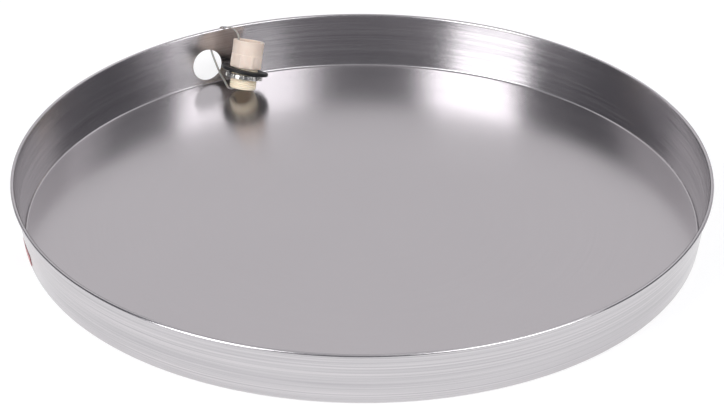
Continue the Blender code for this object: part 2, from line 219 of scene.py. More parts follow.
def wall_point(turn, along, off):
    """Points of the wall: turn round the axis, distance up the slope, and off its middle."""
    flat = (WALL_START[:, None] + WALL_WAY[:, None] * np.ravel(along)
            + WALL_FACE[:, None] * np.ravel(off))
    turn = np.ravel(turn)
    return np.stack([flat[0] * np.cos(turn), flat[0] * np.sin(turn), flat[1]], axis=1)


def sheet_outline():
    """Closed section of the sheet as radius and height, and the row where its wall begins.

    The middle line runs from the centre across the floor, round the corner arc, up the wall
    and round the curl. The inner face is that line moved half a sheet to its left, the outer
    face half a sheet to its right, and a half circle joins them at the end of the curl.
    """
    floor_r = np.geomspace(FLOOR_CENTRE, FLOOR_RADIUS - FLOOR_EDGE, FLOOR_RINGS)
    floor_r = np.concatenate([[0.0], floor_r, [FLOOR_RADIUS]])
    floor = np.stack([floor_r, np.full_like(floor_r, HALF)], axis=1)
    floor_n = np.tile([0.0, 1.0], (len(floor), 1))
    sweep = np.linspace(-math.pi / 2, -WALL_LEAN, CORNER_STEPS + 1)[1:-1]
    corner_n = -np.stack([np.cos(sweep), np.sin(sweep)], axis=1)
    corner = CORNER_CENTRE - CORNER_MID * corner_n
    rise = np.concatenate([np.linspace(0.0, PATCH_TOP, HOLE_ROWS + 1),
                           np.linspace(PATCH_TOP, WALL_LENGTH, WALL_ROWS + 1)[1:]])
    wall = WALL_START + rise[:, None] * WALL_WAY
    wall_n = np.tile(WALL_FACE, (len(wall), 1))
    sweep = math.pi - WALL_LEAN - np.linspace(0.0, BEAD_TURN, BEAD_STEPS + 1)[1:]
    bead_n = np.stack([np.cos(sweep), np.sin(sweep)], axis=1)
    bead = BEAD_CENTRE + BEAD_MID * bead_n
    middle = np.concatenate([floor, corner, wall, bead])
    normal = np.concatenate([floor_n, corner_n, wall_n, bead_n])
    tip_n = normal[-1]
    tip_t = np.array([tip_n[1], -tip_n[0]])
    cap = np.linspace(math.pi / 2, -math.pi / 2, TIP_STEPS + 1)[1:-1]
    tip = middle[-1] + HALF * (np.cos(cap)[:, None] * tip_t + np.sin(cap)[:, None] * tip_n)
    ring = np.concatenate([middle + HALF * normal, tip, (middle - HALF * normal)[::-1]])
    ring[0, 0] = ring[-1, 0] = 0.0
    return ring, len(floor) + len(corner)


def finished_mesh(name, points, faces, chart=None):
    """A mesh from arrays, with outward faces, smooth shading and the chart as its UV map.

    Where a face crosses the seam of the chart, its low U is raised by one whole turn.
    """
    mesh = bpy.data.meshes.new(name)
    mesh.from_pydata(points.tolist(), [], faces)
    if chart is not None:
        layer = mesh.uv_layers.new(name="chart")
        corner = np.empty(len(mesh.loops), dtype=np.int32)
        mesh.loops.foreach_get("vertex_index", corner)
        start = np.empty(len(mesh.polygons), dtype=np.int32)
        mesh.polygons.foreach_get("loop_start", start)
        values = chart[corner]
        length = np.diff(np.append(start, len(corner)))
        top = np.repeat(np.maximum.reduceat(values[:, 0], start), length)
        values[:, 0] += np.where(top - values[:, 0] > 0.5, 1.0, 0.0)
        layer.data.foreach_set("uv", values.astype(np.float32).ravel())
    shape = bmesh.new()
    shape.from_mesh(mesh)
    bmesh.ops.recalc_face_normals(shape, faces=shape.faces)
    shape.to_mesh(mesh)
    shape.free()
    mesh.shade_smooth()
    return mesh


def pan_mesh():
    """The sheet's section turned round the axis, with a round patch let in for the hole.

    The plain rows are a grid of turn and section, with a pole in the middle of each face. In
    the window that the hole takes, each face of the sheet is a polar grid: a point is a blend
    from the window's edge to the hole's circle, at the same bearing from the hole's centre.
    The last ring steps in by the lip, and a band through the thickness joins the two faces.
    """
    ring, low = sheet_outline()
    rows = len(ring)
    turn = np.arange(PAN_COLUMNS) * math.tau / PAN_COLUMNS
    grid = np.stack([ring[:, 0, None] * np.cos(turn), ring[:, 0, None] * np.sin(turn),
                     np.repeat(ring[:, 1, None], PAN_COLUMNS, axis=1)], axis=2)
    along = np.concatenate([[0.0], np.cumsum(np.hypot(*np.diff(ring, axis=0).T))])
    points = [grid[1:-1].reshape(-1, 3), ring[[0, -1]][:, [0, 0, 1]] * [0, 0, 1]]
    chart = [np.stack([np.tile(turn / math.tau, rows - 2),
                       np.repeat(along[1:-1], PAN_COLUMNS)], axis=1),
             np.array([[0.0, 0.0], [0.0, along[-1]]])]
    number = np.arange((rows - 2) * PAN_COLUMNS).reshape(rows - 2, PAN_COLUMNS)
    following = np.roll(number, -1, axis=1)
    quads = np.stack([number[:-1], number[1:], following[1:], following[:-1]], axis=2)

    left = PAN_COLUMNS // 4 - HOLE_COLUMNS // 2
    kept = np.ones(quads.shape[:2], dtype=bool)
    for bottom in (low - 1, rows - 2 - low - HOLE_ROWS):
        kept[bottom:bottom + HOLE_ROWS, left:left + HOLE_COLUMNS] = False
    faces = quads[kept].tolist()
    for pole, row in ((number.size, 0), (number.size + 1, -1)):
        faces += np.stack([np.full(PAN_COLUMNS, pole), number[row], following[row]],
                          axis=1).tolist()

    columns = np.arange(left, left + HOLE_COLUMNS + 1)
    row = np.arange(HOLE_ROWS + 1)
    edge = np.concatenate([
        np.stack([np.zeros(HOLE_COLUMNS, int), columns[:-1]], axis=1),
        np.stack([row[:-1], np.full(HOLE_ROWS, columns[-1])], axis=1),
        np.stack([np.full(HOLE_COLUMNS, HOLE_ROWS), columns[:0:-1]], axis=1),
        np.stack([row[:0:-1], np.full(HOLE_ROWS, columns[0])], axis=1)])
    rise = np.linspace(0.0, PATCH_TOP, HOLE_ROWS + 1)[edge[:, 0]]
    reach = WALL_START[0] + rise * WALL_WAY[0]
    corner = np.stack([-reach * np.sin(turn[edge[:, 1]] - math.pi / 2), rise - HOLE_ALONG])
    bearing = np.arctan2(corner[1], corner[0])
    circle = np.stack([np.cos(bearing), np.sin(bearing)])
    blend = np.array([*PATCH_EASE, 1.0])[:, None, None]
    flat = corner * (1 - blend) + (HOLE_RADIUS + HOLE_LIP) * circle * blend
    flat = np.concatenate([flat, [HOLE_RADIUS * circle]])
    x, rise = flat[:, 0], flat[:, 1] + HOLE_ALONG
    off = np.append(np.full(len(blend), HALF), HALF - HOLE_LIP)[:, None] * np.ones_like(x)
    where = math.pi / 2 - np.arcsin(x / (WALL_START[0] + rise * WALL_WAY[0]))

    total, circles = number.size + 2, []
    for side, bottom in ((1, low), (-1, rows - 1 - low)):
        points.append(wall_point(where, rise, side * off))
        chart.append(np.stack([where.ravel() / math.tau,
                               along[bottom] + side * rise.ravel()], axis=1))
        window = number[bottom - 1 + side * edge[:, 0], edge[:, 1]]
        rings = np.concatenate([window[None], total + np.arange(x.size).reshape(x.shape)])
        total += x.size
        after = np.roll(rings, -1, axis=1)
        patch = np.stack([rings[:-1], after[:-1], after[1:], rings[1:]], axis=2)
        faces += patch.reshape(-1, 4).tolist()
        circles.append(rings[-1])
    inner, outer = circles
    faces += np.stack([inner, np.roll(inner, -1), np.roll(outer, -1), outer],
                      axis=1).tolist()
    return finished_mesh("pan_spun_shell", np.concatenate(points), faces,
                         np.concatenate(chart))


def new_piece(name, mesh, finish, body, slot, *nodes):
    """Places a finished mesh as a piece: it stands for the nodes and rides on the body.

    A piece that lies between two bodies is given None, and rides on neither.
    """
    made = bpy.data.objects.new(name, mesh)
    bpy.context.scene.collection.objects.link(made)
    mesh.materials.clear()
    mesh.materials.append(finish)
    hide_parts(*nodes)
    if body:
        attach(made, body)
    return made


# Aluminium sheet, spun and left bare: satin, a little grey, with rings from the spinning
# tool up the wall, so that lights smear across the rings. The floor was never worked, so
# its rings are faint.
RING_PITCH = 0.0022             # tool marks
RING_DEPTH = 0.000045
BRUSH_PITCH = 0.0008            # scratches, drawn coarser than the real ones so that they show
BRUSH_DEPTH = 0.000015
RING_DRIFT = 0.006              # how quickly a ring changes along its own length
CLOUD_SIZE = 0.11               # broad handling marks
WORKED_FROM, WORKED_TO = 0.0010, 0.0045         # heights between which the rings grow in
NOISE_LOW, NOISE_HIGH = 0.3, 0.7                # most of a noise's values lie between these
aluminium, tree, shader = new_material("spun_aluminium_sheet")
place = add_node(tree, "ShaderNodeTexCoord").outputs["Object"]
xyz = add_node(tree, "ShaderNodeSeparateXYZ", None, {"Vector": place})
plane = add_node(tree, "ShaderNodeCombineXYZ", None, {"X": xyz.outputs["X"],
                                                      "Y": xyz.outputs["Y"]})
radius = add_node(tree, "ShaderNodeVectorMath", {"operation": "LENGTH"},
                  {0: plane.outputs["Vector"]})
along = add_node(tree, "ShaderNodeMath", {"operation": "ADD"},
                 {0: radius.outputs["Value"], 1: xyz.outputs["Z"]})
tracks = add_node(tree, "ShaderNodeCombineXYZ", None, {"X": along.outputs["Value"]})
slow = add_node(tree, "ShaderNodeVectorMath", {"operation": "SCALE", "Scale": RING_DRIFT},
                {0: plane.outputs["Vector"]})
lines = add_node(tree, "ShaderNodeVectorMath", {"operation": "ADD"},
                 {0: tracks.outputs["Vector"], 1: slow.outputs["Vector"]})
tool_marks = add_node(tree, "ShaderNodeTexNoise",
                      {"Scale": 1 / RING_PITCH, "Detail": 1.0, "Roughness": 0.4},
                      {"Vector": lines.outputs["Vector"]})
scratches = add_node(tree, "ShaderNodeTexNoise",
                     {"Scale": 1 / BRUSH_PITCH, "Detail": 2.0, "Roughness": 0.6},
                     {"Vector": lines.outputs["Vector"]})
worked = add_node(tree, "ShaderNodeMapRange",
                  {"From Min": WORKED_FROM, "From Max": WORKED_TO, "To Min": 0.04,
                   "To Max": 1.0}, {"Value": xyz.outputs["Z"]}).outputs["Result"]
deep_rings = add_node(tree, "ShaderNodeMath", {"operation": "MULTIPLY"},
                      {0: tool_marks.outputs["Fac"], 1: worked}).outputs["Value"]
fine_rings = add_node(tree, "ShaderNodeMath", {"operation": "MULTIPLY"},
                      {0: scratches.outputs["Fac"], 1: worked}).outputs["Value"]
cloud = add_node(tree, "ShaderNodeTexNoise", {"Scale": 1 / CLOUD_SIZE, "Detail": 3.0},
                 {"Vector": place})
wear = add_node(tree, "ShaderNodeMix", {"data_type": "FLOAT", "Factor": 0.5},
                {2: scratches.outputs["Fac"], 3: cloud.outputs["Fac"]})
gloss = add_node(tree, "ShaderNodeMapRange",
                 {"From Min": NOISE_LOW, "From Max": NOISE_HIGH, "To Min": 0.19,
                  "To Max": 0.26}, {"Value": wear.outputs[0]})
streak = add_node(tree, "ShaderNodeMix", {"data_type": "FLOAT", "Factor": 0.5},
                  {2: scratches.outputs["Fac"], 3: tool_marks.outputs["Fac"]})
streak_share = add_node(tree, "ShaderNodeMapRange", {"From Min": 0.35, "From Max": 0.65},
                        {"Value": streak.outputs[0]}).outputs["Result"]
ringed = add_node(tree, "ShaderNodeMix", {"data_type": "RGBA", 6: linear("#B2B0B3"),
                                          7: linear("#CFCCCE")}, {0: streak_share})
plain = add_node(tree, "ShaderNodeMix", {"data_type": "RGBA", 6: linear("#BFBCBE"),
                                         7: linear("#C6C3C5")}, {0: wear.outputs[0]})
tint = add_node(tree, "ShaderNodeMix", {"data_type": "RGBA"},
                {0: worked, 6: plain.outputs[2], 7: ringed.outputs[2]})
coarse = add_node(tree, "ShaderNodeBump", {"Strength": 1.0, "Distance": RING_DEPTH},
                  {"Height": deep_rings})
fine = add_node(tree, "ShaderNodeBump", {"Strength": 1.0, "Distance": BRUSH_DEPTH},
                {"Height": fine_rings, "Normal": coarse.outputs["Normal"]})
grain = add_node(tree, "ShaderNodeTangent", {"direction_type": "UV_MAP", "uv_map": "chart"})
tree.links.new(gloss.outputs["Result"], shader.inputs["Roughness"])
tree.links.new(tint.outputs[2], shader.inputs["Base Color"])
tree.links.new(fine.outputs["Normal"], shader.inputs["Normal"])
tree.links.new(grain.outputs["Tangent"], shader.inputs["Tangent"])
shader.inputs["Metallic"].default_value = 1.0
shader.inputs["Anisotropic"].default_value = 0.5
shader.inputs["Anisotropic Rotation"].default_value = 0.25

new_piece("pan_spun_shell", pan_mesh(), aluminium, "pan", "spun_aluminium", "pan_shell")


# ---------------------------------------------------------------- adapter
# A socket adapter moulded in one piece from chlorinated PVC: a glue socket at the top, a
# collar whose eight corners stand proud for a wrench, and a male taper-pipe thread at the
# foot. It stands leaning beside the hole, so its own axis comes from the frame.
FITTING_AXIS = Vector(mounts["socket_end"]["axis"])
NUT_HINGE_ALONG = 0.0202        # the locknut hinge's point, from the threaded end
FITTING_FOOT = (Vector(joints["locknut_spin"]["pos_m"]) - FITTING_AXIS * NUT_HINGE_ALONG)
LEAN = math.acos(FITTING_AXIS.z)
LEAN_HEADING = math.atan2(FITTING_AXIS.y, FITTING_AXIS.x)
FITTING = (Matrix.Translation(FITTING_FOOT) @ Matrix.Rotation(LEAN_HEADING, 4, "Z")
           @ Matrix.Rotation(LEAN, 4, "Y"))
ADAPTER_LENGTH = 0.0585
THREAD_LENGTH = 0.026
THREAD_RADIUS = 0.0161
THREAD_DEPTH = 0.0011
THREAD_PITCH = 0.002209
THREAD_ROWS = 13                # rows of the grid in each turn of the thread
FLANK_FOOT = 0.46               # from the middle of the crest, in pitches
FLANK_LENGTH = 0.34             # in pitches
THREAD_BORE = 0.011
THREAD_START = (0.0002, 0.9)    # where the ridge begins, and the turns in which it grows
THREAD_END = (0.0012, 1.2)      # the same from the collar down
THREAD_FILLET = 0.0006
FOOT_CHAMFER = ((0.0007, 0.0), (0.0006, 0.00003), (0.0001, 0.0005))     # inset and height
COLLAR_HEIGHT = 0.016
COLLAR_FLATS = 0.0366
COLLAR_SIDES = 8
COLLAR_CORNER = 1.070           # the corners' reach, as a share of half the flats
COLLAR_LAP = 0.001
SOCKET_RADIUS = 0.0188
SOCKET_BORE = 0.01435
SOCKET_DEPTH = 0.022
SOCKET_SWELL = (0.1, 0.5, 0.8, 0.9)     # shares of the step that the socket grows by
SOCKET_LIP = 0.0009             # rounding outside the socket's mouth
SOCKET_MOUTH = 0.0008           # and inside it
ADAPTER_EDGE = 0.0005           # rounding under the collar and at the foot of the bore
ADAPTER_STEP = 0.0004           # rounding over the collar and at the shoulder in the bore
FITTING_COLUMNS = 160


def tooth(share):
    """Height from 0 to 1 of a pipe thread's flank at a share of the pitch, crest at a half."""
    return np.clip((FLANK_FOOT - np.abs(share - 0.5)) / FLANK_LENGTH, 0.0, 1.0)


def arc(centre, radius, first, last, steps):
    """Points (radius, height) on an arc, from one angle to another in degrees."""
    angle = np.radians(np.linspace(first, last, steps + 1))
    return [(centre[0] + radius * math.cos(a), centre[1] + radius * math.sin(a))
            for a in angle]


def ring_faces(rows, columns):
    """Quads of a grid that closes on itself along both of its ways."""
    number = np.arange(rows * columns).reshape(rows, columns)
    below, after = np.roll(number, -1, axis=0), np.roll(number, -1, axis=1)
    both = np.roll(below, -1, axis=1)
    return np.stack([number, below, both, after], axis=2).reshape(-1, 4).tolist()


def placed(points, place):
    """Points moved by a 4x4 matrix."""
    turned = np.array(place.to_3x3())
    return points @ turned.T + np.array(place.translation)


def turned_mesh(name, radii, heights, angles, place):
    """A closed ring: radii and heights are grids of section row and column round the axis."""
    grid = np.stack([radii * np.cos(angles), radii * np.sin(angles), heights], axis=2)
    points = placed(grid.reshape(-1, 3), place)
    along = np.cumsum(np.hypot(np.diff(radii[:, 0], prepend=radii[0, 0]),
                               np.diff(heights[:, 0], prepend=heights[0, 0])))
    chart = np.stack([np.broadcast_to(angles / math.tau, radii.shape).ravel(),
                      np.repeat(along, radii.shape[1])], axis=1)
    return finished_mesh(name, points, ring_faces(*radii.shape), chart)


def adapter_mesh():
    """Section rows turned round the axis, with the thread and the collar as added heights.

    radius = row + collar share x (octagon - socket) + thread share x depth x tooth, where
    the tooth is read at height / pitch - turn / 360 degrees, so that the ridge climbs as a
    right-hand helix. The rows go up the outside and down the bore.
    """
    root, top = THREAD_RADIUS - THREAD_DEPTH, ADAPTER_LENGTH
    collar_top = THREAD_LENGTH + COLLAR_HEIGHT
    shoulder = top - SOCKET_DEPTH
    step, edge, lip, mouth = ADAPTER_STEP, ADAPTER_EDGE, SOCKET_LIP, SOCKET_MOUTH
    neck = SOCKET_RADIUS - step

    def plain(outline, collar=0.0):
        """Rows without a thread, from points of radius and height."""
        return [(r, z, collar, 0.0) for r, z in outline]

    climb = np.linspace(FOOT_CHAMFER[0][0], THREAD_LENGTH - THREAD_FILLET,
                        int(THREAD_LENGTH / THREAD_PITCH * THREAD_ROWS))
    grow = np.clip((climb - THREAD_START[0]) / (THREAD_START[1] * THREAD_PITCH), 0, 1)
    fade = np.clip((THREAD_LENGTH - THREAD_END[0] - climb) / (THREAD_END[1] * THREAD_PITCH),
                   0, 1)
    rows = plain([(root - inset, up) for inset, up in FOOT_CHAMFER])
    rows += [(root, height, 0.0, share) for height, share in zip(climb, grow * fade)]
    rows += plain(arc((root + THREAD_FILLET, THREAD_LENGTH - THREAD_FILLET), THREAD_FILLET,
                      180, 90, 4)[1:])
    rows += plain([(SOCKET_RADIUS - 4 * step, THREAD_LENGTH)], 0.6)
    rows += plain(arc((SOCKET_RADIUS - edge, THREAD_LENGTH + edge), edge, -90, 0, 4), 1.0)
    rows += plain([(SOCKET_RADIUS, z) for z in np.linspace(
        THREAD_LENGTH + COLLAR_LAP, collar_top - 1.75 * step, 6)], 1.0)
    rows += plain(arc((neck, collar_top - step), step, 45, 90, 2), 1.0)
    rows += plain([(neck, collar_top + step / 8)], 0.4)
    rows += plain([(neck, collar_top + 0.75 * step)])
    rows += plain([(neck + step * share, z) for share, z in zip(
        SOCKET_SWELL, np.linspace(collar_top + 2.5 * step, top - lip, len(SOCKET_SWELL)))])
    rows += plain(arc((SOCKET_RADIUS - lip, top - lip), lip, 8, 90, 6))
    rows += plain(arc((SOCKET_BORE + mouth, top - mouth), mouth, 90, 180, 5))
    rows += plain([(SOCKET_BORE, z) for z in np.linspace(
        top - 5 * mouth, shoulder + 2.5 * step, 5)])
    rows += plain([(SOCKET_BORE - step / 2, shoulder + step / 2),
                   (SOCKET_BORE - 2 * step, shoulder), (THREAD_BORE + 1.5 * step, shoulder)])
    rows += plain(arc((THREAD_BORE + step, shoulder - step), step, 90, 180, 3))
    rows += plain([(THREAD_BORE, z) for z in np.linspace(shoulder - 2.5 * step, 2 * step, 8)])
    rows += plain(arc((THREAD_BORE + edge, edge), edge, 190, 270, 3))

    row = np.array(rows)[:, :, None]
    angle = np.arange(FITTING_COLUMNS) * math.tau / FITTING_COLUMNS
    half_side = math.pi / COLLAR_SIDES
    from_corner = (angle + half_side) % (2 * half_side) - half_side
    flat = COLLAR_FLATS / 2
    octagon = np.minimum(flat / np.cos(half_side - np.abs(from_corner)), COLLAR_CORNER * flat)
    above_lap = row[:, 1] > THREAD_LENGTH + COLLAR_LAP / 2
    proud = np.maximum(octagon - SOCKET_RADIUS, np.where(above_lap, 0.0, -1.0))
    height = np.broadcast_to(row[:, 1], (len(rows), FITTING_COLUMNS))
    ridge = tooth((height / THREAD_PITCH - angle / math.tau) % 1.0)
    radius = row[:, 0] + row[:, 2] * proud + row[:, 3] * THREAD_DEPTH * ridge
    return turned_mesh("adapter_moulding", radius, height, angle, FITTING)


def weather(tree, shader, patches, tint, gloss, relief, drawn=()):
    """Gives a shader a colour, a gloss and a relief that wander with noise of real sizes.

    patches: each noise's name, with the size of its patches in metres and its detail.
    tint: the noise that mixes two sRGB hex colours, and those colours.
    gloss: the noise that spreads the roughness, and its lowest and highest values.
    relief: names of heights, each with its depth in metres, the lowest layer first.
    drawn: heights that other nodes draw, as pairs of a name and a socket.
    Returns the socket of the mixed colour.
    """
    place = add_node(tree, "ShaderNodeTexCoord").outputs["Object"]
    heights = dict(drawn)
    for name, (size, detail) in patches.items():
        noise = add_node(tree, "ShaderNodeTexNoise", {"Scale": 1 / size, "Detail": detail},
                         {"Vector": place})
        heights[name] = noise.outputs["Fac"]
    colour = add_node(tree, "ShaderNodeMix",
                      {"data_type": "RGBA", 6: linear(tint[1]), 7: linear(tint[2])},
                      {0: heights[tint[0]]}).outputs[2]
    tree.links.new(colour, shader.inputs["Base Color"])
    spread = add_node(tree, "ShaderNodeMapRange",
                      {"From Min": NOISE_LOW, "From Max": NOISE_HIGH,
                       "To Min": gloss[1], "To Max": gloss[2]},
                      {"Value": heights[gloss[0]]})
    tree.links.new(spread.outputs["Result"], shader.inputs["Roughness"])
    below = {}
    for name, depth in relief:
        layer = add_node(tree, "ShaderNodeBump", {"Strength": 1.0, "Distance": depth},
                         {"Height": heights[name], **below})
        below = {"Normal": layer.outputs["Normal"]}
    tree.links.new(below["Normal"], shader.inputs["Normal"])
    return colour


# Moulded chlorinated PVC: opaque pinkish beige, satin from the mould, slightly mottled, with
# faint flow marks and a few scuffs. The thread is paler and yellower.
cpvc, tree, shader = new_material("moulded_chlorinated_pvc")
body_tint = weather(
    tree, shader, {"mottle": (0.009, 3.0), "grain": (0.0007, 2.0), "scuffs": (0.003, 6.0)},
    tint=("mottle", "#E6D2C3", "#F1E2D5"), gloss=("scuffs", 0.36, 0.52),
    relief=(("mottle", 0.00010), ("grain", 0.000012)))
place = add_node(tree, "ShaderNodeTexCoord").outputs["Object"]
from_foot = add_node(tree, "ShaderNodeVectorMath", {"operation": "SUBTRACT", 1: FITTING_FOOT},
                     {0: place})
up = add_node(tree, "ShaderNodeVectorMath", {"operation": "DOT_PRODUCT", 1: FITTING_AXIS},
              {0: from_foot.outputs["Vector"]})
thread_share = add_node(tree, "ShaderNodeMapRange",
                        {"From Min": THREAD_LENGTH - THREAD_FILLET, "From Max": THREAD_LENGTH,
                         "To Min": 1.0, "To Max": 0.0}, {"Value": up.outputs["Value"]})
both_tints = add_node(tree, "ShaderNodeMix", {"data_type": "RGBA", 7: linear("#FAEED8")},
                      {0: thread_share.outputs["Result"], 6: body_tint})
tree.links.new(both_tints.outputs[2], shader.inputs["Base Color"])
shader.inputs["Subsurface Weight"].default_value = 0.12
shader.inputs["Subsurface Scale"].default_value = 0.002
shader.inputs["Subsurface Radius"].default_value = (1.0, 0.6, 0.4)

new_piece("adapter_moulding", adapter_mesh(), cpvc, "adapter", "moulded_cpvc",
          "adapter_body")


# ---------------------------------------------------------------- gasket
# A flat washer cut from black EPDM sheet rubber, loose on the thread. It hangs a few
# degrees out of square and, being soft, is not quite flat.
GASKET_RADIUS = THREAD_RADIUS + 0.0122
GASKET_HOLE = THREAD_RADIUS + 0.00076
GASKET_THICKNESS = 0.004
GASKET_SEAT = 0.02215           # middle of the gasket, along the adapter
GASKET_TILT = math.radians(4.5)
GASKET_HEADING = math.radians(-67.0)
GASKET_WAVE = 0.0005            # of its faces
GASKET_RIPPLE = 0.00012         # of its rim, as it was cut
GASKET_EDGE = 0.0009
GASKET_HOLE_EDGE = 0.0005
GASKET_ROWS = 7
GASKET_COLUMNS = 192


def gasket_mesh():
    """Rounded flat section turned round, with a height of wave x share² x cos(2 turn).

    share runs from 0 at the hole to 1 at the outside, so only the free edge waves. The rim's
    radius ripples by ripple x share x cos(5 turn).
    """
    half, edge, hole_edge = GASKET_THICKNESS / 2, GASKET_EDGE, GASKET_HOLE_EDGE
    face = np.linspace(GASKET_RADIUS - half, GASKET_HOLE + 2 * hole_edge, GASKET_ROWS)
    section = arc((GASKET_RADIUS - edge, half - edge), edge, 90, 0, 5)
    section += arc((GASKET_RADIUS - edge, edge - half), edge, 0, -90, 5)
    section += [(r, -half) for r in face]
    section += arc((GASKET_HOLE + hole_edge, hole_edge - half), hole_edge, 270, 180, 3)
    section += arc((GASKET_HOLE + hole_edge, half - hole_edge), hole_edge, 180, 90, 3)
    section += [(r, half) for r in face[::-1]]
    row = np.array(section)[:, :, None]
    angle = np.arange(GASKET_COLUMNS) * math.tau / GASKET_COLUMNS
    share = (row[:, 0] - GASKET_HOLE) / (GASKET_RADIUS - GASKET_HOLE)
    radius = row[:, 0] + GASKET_RIPPLE * share * np.cos(5 * angle + 1.0)
    height = row[:, 1] + GASKET_WAVE * share ** 2 * np.cos(2 * angle + 0.9)
    stand = (FITTING @ Matrix.Translation((0.0, 0.0, GASKET_SEAT))
             @ Matrix.Rotation(GASKET_HEADING, 4, "Z") @ Matrix.Rotation(GASKET_TILT, 4, "Y"))
    return turned_mesh("gasket_washer", radius, height, angle, stand)


# Black EPDM sheet rubber: dull, with the fine grain of the sheet and a breath of grey dust.
rubber, tree, shader = new_material("epdm_sheet_rubber")
weather(tree, shader, {"dust": (0.006, 5.0), "pores": (0.0004, 2.0), "lumps": (0.0025, 2.0)},
        tint=("dust", "#09090B", "#17171A"), gloss=("dust", 0.42, 0.62),
        relief=(("lumps", 0.00012), ("pores", 0.00002)))
shader.inputs["Specular IOR Level"].default_value = 0.42

new_piece("gasket_washer", gasket_mesh(), rubber, "gasket", "epdm_rubber", "rubber_gasket")


# ---------------------------------------------------------------- locknut
# A stamped steel locknut, zinc plated, with twelve notches round its rim to take a tool, and
# a tapped bore that runs on the adapter's thread.
NUT_RADIUS = THREAD_RADIUS + 0.0063
NUT_HOLE = THREAD_RADIUS + 0.0003
NUT_THICKNESS = 0.0053
NUT_TOP = 0.01809               # its upper face, along the adapter
NUT_NOTCHES = 12
NUT_NOTCH_WIDTH = 0.0042
NUT_NOTCH_DEPTH = 0.0026
NUT_NOTCH_EASE = 0.016          # radians from the middle of a notch's side to its end
NUT_SIDE_COLUMNS = (-1.375, -0.875, -0.4375, 0.0, 0.4375, 0.875, 1.375)     # in eases
NUT_EDGE = 0.0006
NUT_CHAMFER = 0.0006            # round the hole
NUT_THREAD_DEPTH = 0.0007
NUT_THREAD_ROWS = 20
NUT_THREAD_REACH = 0.025        # share of the face in which the thread fades out


def locknut_mesh():
    """Rounded flat section, its outer part drawn in at the notches.

    radius = hole + share x (rim - hole - depth x notch), where notch eases from 0 to 1
    across a notch's side and share is the row's place between hole and rim. In the bore, the
    thread's height is read as on the adapter.
    """
    pitch = math.tau / NUT_NOTCHES
    half_width = NUT_NOTCH_WIDTH / 2 / (NUT_RADIUS - NUT_NOTCH_DEPTH / 2)
    side = half_width + NUT_NOTCH_EASE * np.array(NUT_SIDE_COLUMNS)
    half_cell = np.concatenate([[0.3 * half_width], side,
                                np.linspace(side[-1], pitch / 2, 5)[1:-1]])
    cell = np.concatenate([-half_cell[::-1], [0.0], half_cell, [pitch / 2]])
    angle = (cell[None, :] + (np.arange(NUT_NOTCHES)[:, None] + 0.5) * pitch).ravel()
    inside = (half_width + NUT_NOTCH_EASE - np.abs(cell)) / (2 * NUT_NOTCH_EASE)
    inside = np.clip(inside, 0.0, 1.0)
    notch = np.tile(inside ** 2 * (3 - 2 * inside), NUT_NOTCHES)

    half, edge, chamfer = NUT_THICKNESS / 2, NUT_EDGE, NUT_CHAMFER
    face = np.linspace(NUT_RADIUS - 2.5 * edge, NUT_HOLE + 2 * chamfer, 4)
    lead = half - 4 / 3 * chamfer
    section = arc((NUT_RADIUS - edge, half - edge), edge, 90, 0, 4)
    section += [(NUT_RADIUS, z) for z in (0.001, 0.0, -0.001)]
    section += arc((NUT_RADIUS - edge, edge - half), edge, 0, -90, 4)
    section += [(r, -half) for r in face]
    section += [(NUT_HOLE + chamfer, chamfer / 3 - half)]
    section += [(NUT_HOLE, z) for z in np.linspace(-lead, lead, NUT_THREAD_ROWS)]
    section += [(NUT_HOLE + chamfer, half - chamfer / 3)]
    section += [(r, half) for r in face[::-1]]

    row = np.array(section)[:, :, None]
    share = (row[:, 0] - NUT_HOLE) / (NUT_RADIUS - NUT_HOLE)
    height = np.broadcast_to(row[:, 1], (len(section), len(angle)))
    ridge = tooth(((NUT_TOP + height) / THREAD_PITCH - angle / math.tau) % 1.0)
    bore = np.clip(1.0 - share / NUT_THREAD_REACH, 0.0, 1.0) * NUT_THREAD_DEPTH * ridge
    radius = row[:, 0] - share * NUT_NOTCH_DEPTH * notch + bore
    stand = FITTING @ Matrix.Translation((0.0, 0.0, NUT_TOP - NUT_THICKNESS / 2))
    return turned_mesh("locknut_stamping", radius, height, angle, stand)


# Bright zinc plate on stamped steel: a cool silvery grey with a faint yellow bloom, and
# small dull spots where it has been handled.
zinc, tree, shader = new_material("zinc_plated_steel")
weather(tree, shader, {"bloom": (0.005, 4.0), "spots": (0.0008, 4.0)},
        tint=("bloom", "#B9BCC2", "#D2CEC2"), gloss=("spots", 0.18, 0.34),
        relief=(("bloom", 0.00003), ("spots", 0.000004)))
shader.inputs["Metallic"].default_value = 1.0

new_piece("locknut_stamping", locknut_mesh(), zinc, "locknut", "zinc_plated_steel",
          "locknut")


# ---------------------------------------------------------------- cable tie
# A flat nylon cable tie drawn into a slack loop: over the rim, in through the outlet hole,
# along the floor, up the adapter's bore and back. Its ratchet head sits outside the wall.
TIE_RADIUS = 0.0008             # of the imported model's round stand-in for the strap
STRAP_WIDTH = 0.0024
STRAP_THICKNESS = 0.0011
STRAP_EDGE = 0.00035            # rounding
GAP = 0.0003                    # between pieces that touch
TIE_RIM_X = 0.026               # where the loop crosses the rim
TIE_HOLE_X = 0.0075             # where it passes the hole
TIE_HANG = 0.0018               # how far off the wall it hangs, outside
TIE_REACH = 0.0045              # in from the wall and down from the hole's edge, where it bends
TIE_FOOT = 0.0019               # how far past the adapter's threaded end it turns
TIE_SIDE = math.radians(152.2)  # heading of the side of the adapter that it keeps to
TIE_SWEEP = ((0.3, -0.0010, 0.0002), (0.6, -0.0015, 0.0004), (0.85, -0.0006, 0.0006))
TIE_ARCH = ((0.3, 0.0024, 0.0034), (0.65, 0.0026, 0.0026))      # share, sideways and up
TIE_SAMPLES = 10                # between two points of the route
TIE_CLEAR = TIE_RADIUS + 1.5 * GAP
HEAD = (0.0046, 0.0034, 0.0052)
HEAD_DROP = 0.0085              # below the middle of the bead
